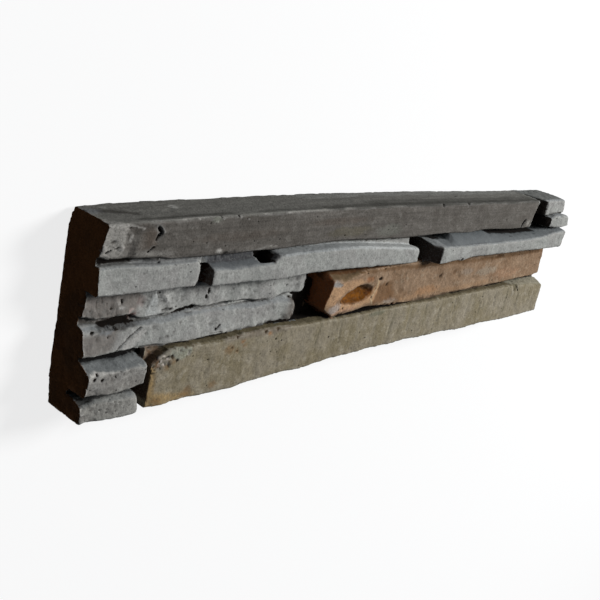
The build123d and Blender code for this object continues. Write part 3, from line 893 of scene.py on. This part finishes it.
# The bed over the short thin stone comes forward little by little, so that no step shows in it.
ramp = np.flatnonzero(in_block((36, 55), (116.5, 121.6), (30, 34.9)))
points[ramp, 2] = np.maximum(points[ramp, 2], 32 + 3 * fade(along[ramp], 36, 53))

# The ledge's top meets the bar along its left half, and leaves a narrow crack along its right half.
meeting = joint(
    (430, 118.6), (484, 116.8), (512, 117.2), (522, 115.2), (546, 113.6), (577, 112.2), (625, 111.4),
    (640, 111),
)
rear_top = in_block((434, 642), (106, 118), (22, 50)) & (facing_up > 0.3)
raised = fade(along, 436, 444) * fade(along, 640, 630) * fade(depth, 50, 37) * rear_top
points[:, 1] += raised * np.clip(meeting - height, 0, 8)
# The raised top is painted dark grey, as the shade under the bar.
cover(everywhere, raised * 0.8, "#484c4e")

# The lower recessed stone runs on a little at its right end.
here = where["lower_recessed"]
here = here[(along[here] > 208) & (along[here] < 224) & (depth[here] > 20)]
run_on = fade(along[here], 208, 217) * fade(depth[here], 20, 22)
points[here, 0] += 3.5 * run_on * np.clip((height[here] - 46) / 14, 0.3, 1)

# Painted shade lies in every crease, hollow and joint, but for the beds that are filled nearly flush,
# which it leaves out.
filled_beds = [
    in_block((28, 98), (115, 124), (30, 46)),
    in_block((178, 392), (104, 124), (27, 46)),
    in_block((434, 540), (106, 124), (24, 46)),
]
takes_painted_shade = ~np.any(filled_beds, axis=0)
inner = (along > 2) & (along < panel_length - 2) & (height > 5) & (height < 147) & (depth > 10)
on_stones = inner & takes_painted_shade
cover(everywhere, 0.7 * fade(bulge, -0.12, -0.4) * takes_painted_shade, painted_shade)
cover(everywhere, fade(sunk, 3.5, 7.5) * fade(facing_out, 0, 0.5) * takes_painted_shade, painted_shade)
cover(everywhere, 0.8 * fade(sunk, 5, 11.4) * on_stones, painted_shade)

# Faces that look to the left are painted as shade: dark brown on the grey stones and a redder brown on
# the tan one.
in_shade = 0.9 * fade(-facing_right, 0.36, 0.72) * on_stones * fade(points[:, 2], 12, 16)
cover(everywhere, in_shade, "#2b190f")
cover(where["tan"], in_shade[where["tan"]], "#8a5230")

# The deepest pockets and joints are painted black, as shade.
facing_left, not_top = facing_right < -0.3, facing_up < 0.6
black = [
    # The pocket between the recessed stones and the tan stone
    in_block((224, 243.6), (44, 66), (0, 29)),
    in_block((222, 249), (44, 82), (0, 25.6)),
    in_block((218, 262), (40, 52), (0, 30)),
    # Beside and over the short low stone
    in_block((53.5, 58.5), (38, 46), (24, 31)),
    in_block((0, 44), (38, 50), (26, 28.2)),
    # The gaps and the step of the thin course
    in_block((94, 104.5), (90, 112), (0, 34.5)),
    in_block((384, 402), (86, 120), (0, 34)),
    in_block((416, 433), (106, 120), (26, 35)),
    in_block((156, 176), (104, 121), (0, 36.5)),
    # The slot between the bar and the end stones
    in_block((625, 646), (112, 148), (12, 60)) & not_top,
    in_block((612, 652), (112, 131), (12, 60)) & facing_left,
    # The joint under the bar
    in_block((520, 625), (108, 118), (0, 34)),
    in_block((0, 30), (118.8, 125), (0, 34)),
    in_block((30, 44), (119.6, 122), (0, 34)),
    # The joint under the tan stone
    in_block((262, 345), (43.5, 48.4), (0, 37.5)),
    in_block((345, 400), (43.5, 46.8), (0, 37.5)),
]
for hidden in black:
    cover(np.flatnonzero(hidden), 0.95, painted_shade)

# The crack behind the ledge, and the hollow under the broken edge of the upper recessed stone, both
# painted black as shade
crack = in_block((514, 634), (108, 118), (20, 44)) & (facing_up > 0.2)
cover(everywhere, fade(along, 514, 524) * fade(depth, 39.4, 38.2) * crack, painted_shade)
under_break = np.interp(along, (14, 22, 38, 42, 44), (70, 72.4, 75.4, 73, 69))
cover(np.flatnonzero(in_block((16, 44), (67.5, 76), (10, 60)) & (height < under_break)), 1.0, painted_shade)

# The beds at the mouths of the joints are painted in greys and browns for the shade and the little
# light that they catch.
beds = [
    (in_block((30, 98), (115.6, 120.6), (30, 36.6)), 0.8, "#656666"),
    (in_block((0, 50), (38, 50), (26, 30.5)), 0.55, "#202122"),
    (in_block((0, 50), (12, 20), (24, 36)), 0.8, "#1a1917"),
    (in_block((103, 154), (110.5, 124), (29, 34.6)) & (facing_out > 0.3), 0.85, "#3f3f41"),
    (in_block((100, 106), (92, 108), (24, 36)), 0.8, "#2e1c12"),
    (in_block((59, 72), (33, 47), (26, 38)), 0.6, "#6a5645"),
    (in_block((184, 392), (104, 119), (27, 46)) & (facing_up > 0.3), 0.7, "#8d9090"),
    (in_block((246, 345), (84, 96), (18, 37)) & (facing_up > 0.4), 0.8, "#4a2c14"),
]
for shown, amount, tint in beds:
    cover(np.flatnonzero(shown), amount, tint)
# The top of the step's right part is painted pale, as painted light.
painted_light_shelf = in_block((250, 392), (104, 119), (27, 46)) * fade(along, 250, 310)
cover(everywhere, 0.85 * painted_light_shelf * (facing_up > 0.3), "#a6a8a6")

# The left end is left unpainted, and the blackest painted shade is made heavy enough to hide the grain
# under it.
mesh.vertices.foreach_set("co", ((points + datum) * mm).ravel())
raw_depth = 0.6
paint[along < raw_depth] = 0
blackest = (paint[:, 3] > 0.85) & (paint[:, :3].max(1) < 0.02)
paint[blackest] *= (0.4, 0.4, 0.4, 1.8)
layer = mesh.attributes.new("paint", "FLOAT_COLOR", "POINT")
layer.data.foreach_set("color", paint.astype(np.float32).ravel())
mesh.update()

# Back and ends
# The back and the two ends are bare concrete, as they come from the mould, and so is the arris round
# the left end. Once each face has its material, the mesh is thinned out and the casting is done.

# Raw brown concrete: an uneven, earthy brown, without the colours that were laid on the stones, and
# painted a little darker where it faces up, as shade
raw_finish = stone_finish(
    "raw brown concrete", "#5d3c22", "#3c2716", "#5d3e25", (14, 14, 14), 0.1, "#4d331e"
)
finishes = list(dict.fromkeys(material_of.values())) + [raw_finish]
mesh.materials.clear()
for material in finishes:
    mesh.materials.append(material)
point_slot = np.zeros(len(points), int)
for name, here in where.items():
    point_slot[here] = finishes.index(material_of[name])
at_an_end = (along < raw_depth) | (along > panel_length - raw_depth)
left_arris = (along < 4) & (facing_right < -0.35)
point_slot[at_an_end | left_arris | (depth < raw_depth)] = finishes.index(raw_finish)
corners = np.empty(len(mesh.loops), int)
mesh.loops.foreach_get("vertex_index", corners)
starts = np.empty(len(mesh.polygons), int)
mesh.polygons.foreach_get("loop_start", starts)
mesh.polygons.foreach_set("material_index", point_slot[corners[starts]])

triangles = sum(len(face.vertices) - 2 for face in mesh.polygons)
allowed = 190000
if triangles > allowed:
    thin_out = casting.modifiers.new("thin out", "DECIMATE")
    thin_out.ratio = allowed / triangles
    bpy.ops.object.modifier_apply(modifier=thin_out.name)

# Thinning out can push a point a hair past the solid's box, and this brings it back.
mesh = casting.data
hair = 0.01
kept = np.empty(len(mesh.vertices) * 3)
mesh.vertices.foreach_get("co", kept)
kept = np.clip(kept.reshape(-1, 3), (corner_low + hair) * mm, (corner_high - hair) * mm)
mesh.vertices.foreach_set("co", kept.ravel())
mesh.update()
bpy.ops.object.shade_smooth()

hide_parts("cladding_panel")
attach(casting, "root")
